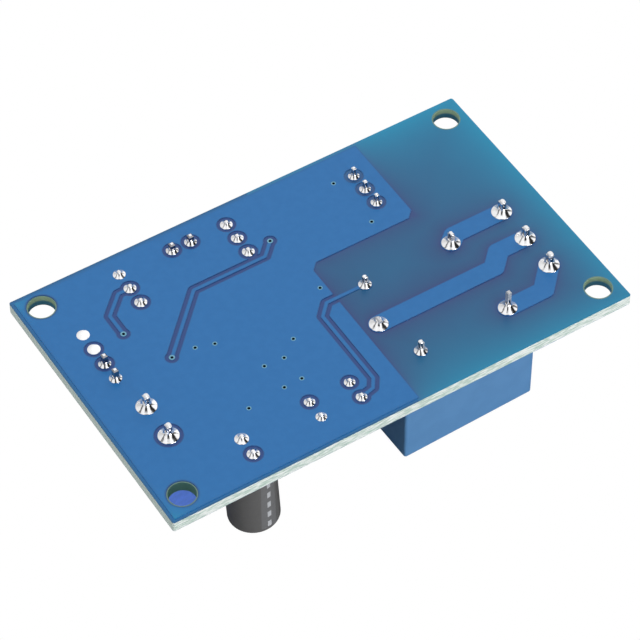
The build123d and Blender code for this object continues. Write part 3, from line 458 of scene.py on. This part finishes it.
def turned_cone(foot, neck, rise, dice):
    """Hollow cone about the pin, a little uneven from side to side."""
    cone = bmesh.new()
    profile = [Vector((foot, 0, -0.02))]
    for step in range(17):
        t = step / 16
        climb = 0.66 * t + 0.14 * t ** 3 + 0.20 * t ** 9
        profile.append(Vector((foot + (neck - foot) * t, 0, rise * climb)))
    profile.append(Vector((neck * 0.35, 0, rise * 1.01)))
    ring = [cone.verts.new(point) for point in profile]
    edges = [cone.edges.new(pair) for pair in zip(ring, ring[1:])]
    bmesh.ops.spin(cone, geom=ring + edges, cent=(0, 0, 0), axis=(0, 0, 1), angle=2 * math.pi,
                   steps=48, use_merge=True, use_duplicate=False)
    bmesh.ops.holes_fill(cone, edges=cone.edges, sides=0)
    lean = dice.uniform(0, 2 * math.pi)
    shift = Vector((dice.uniform(-50, 50), dice.uniform(-50, 50), dice.uniform(-50, 50)))
    for v in cone.verts:
        inside = max(0.0, min(1.0, (foot - v.co.xy.length) / (foot - neck)))
        side = math.cos(math.atan2(v.co.y, v.co.x) - lean)
        lump = noise.noise(v.co * 1.6 + shift) * 0.07 * inside * (1 - 0.5 * inside)
        v.co.z = max(v.co.z * (1 + 0.07 * side * inside) + lump * rise, -0.02)
    return cone


def coated_pin(half_x, half_y, foot, top, taper, lean):
    """Thin coat of solder over a pin: a rounded post that narrows and leans towards its tip."""
    post = bmesh.new()
    middle = (foot + top) / 2
    block = Matrix.Translation((0, 0, middle)) @ Matrix.Diagonal((2 * half_x, 2 * half_y, top - foot, 1))
    bmesh.ops.create_cube(post, size=1.0, matrix=block)
    upper = [v for v in post.verts if v.co.z > middle]
    bmesh.ops.scale(post, vec=(1 - taper, 1 - taper, 1), verts=upper)
    bmesh.ops.translate(post, vec=(lean[0], lean[1], 0), verts=upper)
    sharp = [edge for edge in post.edges if max(v.co.z for v in edge.verts) > middle]
    bmesh.ops.bevel(post, geom=sharp, offset=0.94 * half_x * (1 - max(taper, 0.0)), offset_type="OFFSET",
                    segments=8, profile=0.5, affect="EDGES", material=-1)
    return post


def solder_skin(name, cad_name, joints, seed):
    """One mesh of joints: x, y, foot, neck and rise of the cone, then the pin's coat or None."""
    data = bpy.data.meshes.new(name)
    mesh = bmesh.new()
    dice = random.Random(seed)
    for x, y, foot, neck, rise, coat in joints:
        parts = [turned_cone(foot, neck, rise, dice)]
        if coat:
            half_x, half_y, top, taper, lean = coat
            parts.append(coated_pin(half_x, half_y, rise * 0.5, top, taper, lean))
        for part in parts:
            bmesh.ops.translate(part, vec=(x, y, 0), verts=part.verts)
            part.to_mesh(data)
            part.free()
            mesh.from_mesh(data)
    bmesh.ops.scale(mesh, vec=(mm, mm, mm), verts=mesh.verts)
    bmesh.ops.recalc_face_normals(mesh, faces=mesh.faces)
    mesh.to_mesh(data)
    mesh.free()
    for polygon in data.polygons:
        polygon.use_smooth = True
    piece = bpy.data.objects.new(name, data)
    bpy.context.scene.collection.objects.link(piece)
    data.materials.append(solder_finish)
    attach(piece, "module")
    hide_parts(cad_name)
    return piece


# Foot, neck and rise of each kind of joint, then half widths, top, taper and lean of its coat.
slim = (0.68, 0.24, 0.42, None)
lead = (0.78, 0.22, 0.53, None)
header = (0.78, 0.38, 0.46, None)
trimmed = (0.72, 0.28, 0.48, (0.27, 0.27, 1.50, 0.0, (0.0, 0.0)))
coil_far = (0.82, 0.30, 0.55, (0.28, 0.28, 1.55, -0.12, (-0.08, 0.0)))
coil_near = (0.82, 0.30, 0.60, (0.28, 0.28, 1.80, -0.12, (-0.08, 0.0)))
common = (1.18, 0.34, 0.78, None)
closed = (1.18, 0.40, 0.78, (0.30, 0.46, 1.80, 0.15, (0.0, 0.0)))
opened = (1.18, 0.32, 0.86, (0.31, 0.31, 2.88, 0.40, (0.05, 0.0)))
terminal = (1.29, 0.40, 0.82)
solder_skin("relay_joints", "relay_solder", [
    (5.51, -1.09) + coil_far, (5.51, -13.09) + coil_near, (3.57, -7.09) + common,
    (17.71, -1.09) + closed, (17.71, -13.09) + opened], 1)
solder_skin("output_joints", "output_terminal_solder", [
    (25.63, -0.19) + terminal + ((0.35, 0.42, 2.00, -0.03, (0.05, -0.04)),),
    (25.63, -5.19) + terminal + ((0.35, 0.42, 2.00, -0.03, (0.04, -0.03)),),
    (25.63, -10.19) + terminal + ((0.35, 0.42, 2.16, -0.03, (0.05, -0.04)),)], 2)
solder_skin("input_joints", "input_terminal_solder", [
    (-25.57, y) + terminal + ((0.35, 0.42, 2.05, -0.03, (0.05, -0.03)),) for y in (-8.23, -3.23)], 3)
solder_skin("capacitor_joints", "capacitor_solder", [
    (-18.82, -15.64) + lead, (-18.82, -13.10, 0.86, 0.22, 0.56, None)], 4)
pitch = 2.54
solder_skin("led_joints", "led_solder", [
    (x, -13.95 + s) + slim for x in (-9.47, -4.02) for s in (-pitch / 2, pitch / 2)], 5)
for number, (name, x) in enumerate((("regulator", -18.27), ("transistor", -3.47))):
    solder_skin(name + "_joints", name + "_solder", [
        (x, 13.17 + s) + lead for s in (-pitch, 0, pitch)], 6 + number)
solder_skin("trimmer_joints", "trimmer_solder", [
    (13.73, 11.7 + s) + trimmed for s in (-pitch, 0, pitch)], 8)
solder_skin("header_joints", "header_solder", [
    (-26.49, 2.24) + header, (-26.49, 4.78) + header, (-11.04, 15.65) + header, (-8.5, 15.65) + header], 9)
dress(solder_finish, "spare_hole_solder")


# The module lies on its relay on a white sweep, in the even light of a white tent. Shiny
# pieces see the sweep white too, but for its grey part in the module's own shadow. The tent
# has four slits, one of them for the lens, which show as dark lines in the solder.
half_length, half_width, shadow_starts, shadow_ends = 31.0, 19.0, 12.0, 45.0

floor_finish, tree, shader = new_material("floor")
shader.inputs["Base Color"].default_value = (0.22, 0.22, 0.22, 1)
shader.inputs["Roughness"].default_value = 0.8
where, x, y, z = place_in(tree)
beyond = sums(tree, "MAXIMUM", sums(tree, "SUBTRACT", sums(tree, "ABSOLUTE", x), half_length),
              sums(tree, "SUBTRACT", sums(tree, "ABSOLUTE", y), half_width))
path = tree.nodes.new("ShaderNodeLightPath")
seen = sums(tree, "MAXIMUM", path.outputs["Is Glossy Ray"], path.outputs["Is Transmission Ray"])
seen = sums(tree, "MULTIPLY", seen, between(tree, beyond, shadow_starts, shadow_ends))
seen = sums(tree, "MAXIMUM", seen, path.outputs["Is Camera Ray"])
white = tree.nodes.new("ShaderNodeEmission")
white.inputs["Color"].default_value = (1, 1, 1, 1)
choice = tree.nodes.new("ShaderNodeMixShader")
output = tree.nodes["Material Output"]
tree.links.new(seen, choice.inputs["Fac"])
tree.links.new(shader.outputs[0], choice.inputs[1])
tree.links.new(white.outputs[0], choice.inputs[2])
tree.links.new(choice.outputs[0], output.inputs["Surface"])
bottom = min(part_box(name)[0].z for name in nodes)
sweep = bmesh.new()
bmesh.ops.create_grid(sweep, x_segments=1, y_segments=1, size=2.0)
data = bpy.data.meshes.new("floor")
sweep.to_mesh(data)
sweep.free()
for corner in data.vertices:
    corner.co.z = bottom
data.materials.append(floor_finish)
floor = bpy.data.objects.new("floor", data)
bpy.context.scene.collection.objects.link(floor)

world = bpy.data.worlds.new("tent")
world.use_nodes = True
tree = world.node_tree
coords = tree.nodes.new("ShaderNodeTexCoord")
split = tree.nodes.new("ShaderNodeSeparateXYZ")
tree.links.new(coords.outputs["Generated"], split.inputs[0])
x, y, z = split.outputs
to_right = sums(tree, "ADD", sums(tree, "MULTIPLY", x, 0.846), sums(tree, "MULTIPLY", y, -0.533))
to_camera = sums(tree, "ADD", sums(tree, "MULTIPLY", x, -0.533), sums(tree, "MULTIPLY", y, -0.846))
around = sums(tree, "DEGREES", sums(tree, "ARCTAN2", to_right, to_camera))
low = sums(tree, "SUBTRACT", 1.0, between(tree, z, 0.1, 0.6))
left = sums(tree, "SUBTRACT", 1.0, between(tree, to_right, -0.9, 0.2))
tent = sums(tree, "MULTIPLY_ADD", left, sums(tree, "MULTIPLY_ADD", low, -0.32, -0.22), 1.13)
ahead = sums(tree, "SUBTRACT", 0.0, y)
tent = sums(tree, "MULTIPLY_ADD", sums(tree, "MULTIPLY", low, between(tree, ahead, 0.2, 0.9)), 0.6, tent)
# Middle and half width of each slit in degrees round the tent, its height and its darkness.
slits = ((0.0, 18.0, 0.87, 0.98), (84.0, 21.0, 0.84, 0.985),
         (120.0, 18.0, 0.32, 0.9), (-78.0, 9.0, 0.82, 0.85))
for middle, half, height, dimmed in slits:
    off = sums(tree, "ABSOLUTE", sums(tree, "SUBTRACT", around, middle))
    slit = sums(tree, "SUBTRACT", 1.0, between(tree, off, half * 0.8, half * 1.2))
    below = sums(tree, "SUBTRACT", 1.0, between(tree, z, height - 0.08, height + 0.08))
    slit = sums(tree, "MULTIPLY", slit, below)
    tent = sums(tree, "MULTIPLY", tent, sums(tree, "MULTIPLY_ADD", slit, -dimmed, 1.0))
path = tree.nodes.new("ShaderNodeLightPath")
seen = sums(tree, "MAXIMUM", path.outputs["Is Camera Ray"], path.outputs["Is Transmission Ray"])
tent = sums(tree, "ADD", seen, sums(tree, "MULTIPLY", tent, sums(tree, "SUBTRACT", 1.0, seen)))
tree.nodes["Background"].inputs["Color"].default_value = (1, 1, 1, 1)
tree.links.new(tent, tree.nodes["Background"].inputs["Strength"])
bpy.context.scene.world = world

light = bpy.data.lights.new("front_low", "AREA")
light.shape = "RECTANGLE"
light.size = 0.3
light.size_y = 0.1
light.energy = 2.4
lamp = bpy.data.objects.new("front_low", light)
lamp.location = (0.12, -0.5, -0.02)
lamp.rotation_euler = (Vector((0.01, 0, -0.01)) - lamp.location).to_track_quat("-Z", "Y").to_euler()
bpy.context.scene.collection.objects.link(lamp)
